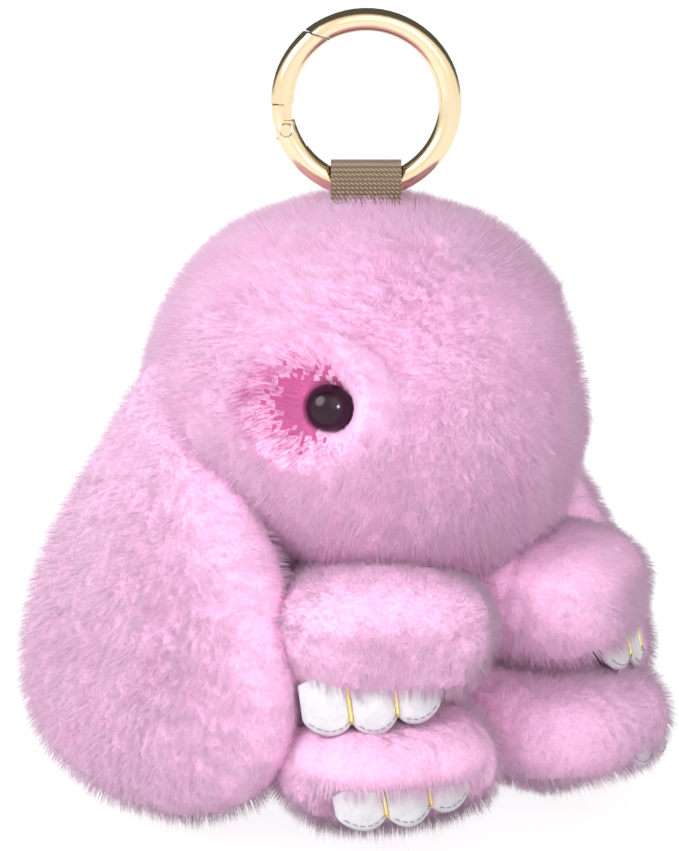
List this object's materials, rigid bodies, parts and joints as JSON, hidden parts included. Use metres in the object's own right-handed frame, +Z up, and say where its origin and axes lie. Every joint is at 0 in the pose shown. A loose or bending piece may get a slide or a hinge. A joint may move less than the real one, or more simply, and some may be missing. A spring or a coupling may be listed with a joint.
{
  "type": "plush keychain",
  "caption": "Furry lop-eared rabbit toy that hangs by a webbing loop from a round sprung snap ring, for keys or a bag.",
  "frame": {"origin": "top of the ring's opening, where the ring hangs on a hook", "axes": "+Z up, the toy faces -Y and its own left is +X; the ring and its loop are turned 40 degrees from the toy's face"},
  "size_m": [0.1046, 0.1001, 0.1292],
  "materials": {
    "champagne_gold": "polished pale gold plating",
    "spring_steel": "plain spring steel",
    "taupe_webbing": "twill weave ribbon",
    "polyester_thread": "sewing thread",
    "pink_fur": "dense soft pile, lighter tips",
    "pink_fur_inner": "dense soft pile on the inside of the ears",
    "white_wadding": "loose polyester fibre",
    "black_bead": "polished black with a plum tint",
    "washer_plastic": "moulded",
    "white_leatherette": "smooth coated, grey edge stitching",
    "gold_thread": "metallic twisted thread"
  },
  "bodies": {
    "ring": {"ring_body": "champagne_gold", "gate_rivet": "champagne_gold", "gate_spring": "spring_steel"},
    "gate": {"ring_gate": "champagne_gold"},
    "toy": {"webbing_loop": "taupe_webbing", "loop_stitch": "polyester_thread", "head_shell": "pink_fur", "head_stuffing": "white_wadding", "eye_right": "black_bead", "eye_left": "black_bead", "eye_washer_right": "washer_plastic", "eye_washer_left": "washer_plastic", "body_shell": "pink_fur", "body_stuffing": "white_wadding", "tail_shell": "pink_fur", "tail_stuffing": "white_wadding"},
    "ear_right": {"ear_outer_right": "pink_fur", "ear_inner_right": "pink_fur_inner"},
    "front_paw_right": {"paw_sleeve_front_right": "pink_fur", "paw_stuffing_front_right": "white_wadding", "toe_pad_front_right": "white_leatherette", "toe_thread_front_right_a": "gold_thread", "toe_thread_front_right_b": "gold_thread"},
    "hind_paw_right": {"paw_sleeve_hind_right": "pink_fur", "paw_stuffing_hind_right": "white_wadding", "toe_pad_hind_right": "white_leatherette", "toe_thread_hind_right_a": "gold_thread", "toe_thread_hind_right_b": "gold_thread"},
    "ear_left": {"ear_outer_left": "pink_fur", "ear_inner_left": "pink_fur_inner"},
    "front_paw_left": {"paw_sleeve_front_left": "pink_fur", "paw_stuffing_front_left": "white_wadding", "toe_pad_front_left": "white_leatherette", "toe_thread_front_left_a": "gold_thread", "toe_thread_front_left_b": "gold_thread"},
    "hind_paw_left": {"paw_sleeve_hind_left": "pink_fur", "paw_stuffing_hind_left": "white_wadding", "toe_pad_hind_left": "white_leatherette", "toe_thread_hind_left_a": "gold_thread", "toe_thread_hind_left_b": "gold_thread"}
  },
  "joints": [
    {"name": "gate_open", "type": "hinge", "parent": "ring", "child": "gate", "pos_m": [-0.01059, 0.00888, -0.01688], "axis": [0.6428, 0.766, 0], "range_deg": [0, 32], "stiffness_Nm_per_rad": 0.03, "springref_deg": -17.19},
    {"name": "toy_swing", "type": "hinge", "parent": "ring", "child": "toy", "pos_m": [0, 0, -0.027], "axis": [0.766, -0.6428, 0], "range_deg": [-75, 75]},
    {"name": "ear_right_lift", "type": "hinge", "parent": "toy", "child": "ear_right", "pos_m": [-0.0326, 0.0125, -0.062], "axis": [-0.1805, 0.9836, 0], "range_deg": [-3, 70], "stiffness_Nm_per_rad": 0.03, "springref_deg": 1.72},
    {"name": "front_paw_right_raise", "type": "hinge", "parent": "toy", "child": "front_paw_right", "pos_m": [-0.01, -0.0119, -0.0964], "axis": [-0.848, 0.5299, 0], "range_deg": [0, 12], "stiffness_Nm_per_rad": 0.05, "springref_deg": -2.86},
    {"name": "hind_paw_right_lower", "type": "hinge", "parent": "toy", "child": "hind_paw_right", "pos_m": [-0.0112, -0.0043, -0.1149], "axis": [0.9272, -0.3746, 0], "range_deg": [0, 30], "stiffness_Nm_per_rad": 0.05, "springref_deg": -2.86},
    {"name": "ear_left_lift", "type": "hinge", "parent": "toy", "child": "ear_left", "pos_m": [0.0326, 0.0125, -0.062], "axis": [-0.1805, -0.9836, 0], "range_deg": [-3, 70], "stiffness_Nm_per_rad": 0.03, "springref_deg": 1.72},
    {"name": "front_paw_left_raise", "type": "hinge", "parent": "toy", "child": "front_paw_left", "pos_m": [0.01, -0.0119, -0.0964], "axis": [-0.848, -0.5299, 0], "range_deg": [0, 12], "stiffness_Nm_per_rad": 0.05, "springref_deg": -2.86},
    {"name": "hind_paw_left_lower", "type": "hinge", "parent": "toy", "child": "hind_paw_left", "pos_m": [0.0112, -0.0043, -0.1149], "axis": [0.9781, 0.2079, 0], "range_deg": [0, 30], "stiffness_Nm_per_rad": 0.05, "springref_deg": -2.86}
  ]
}
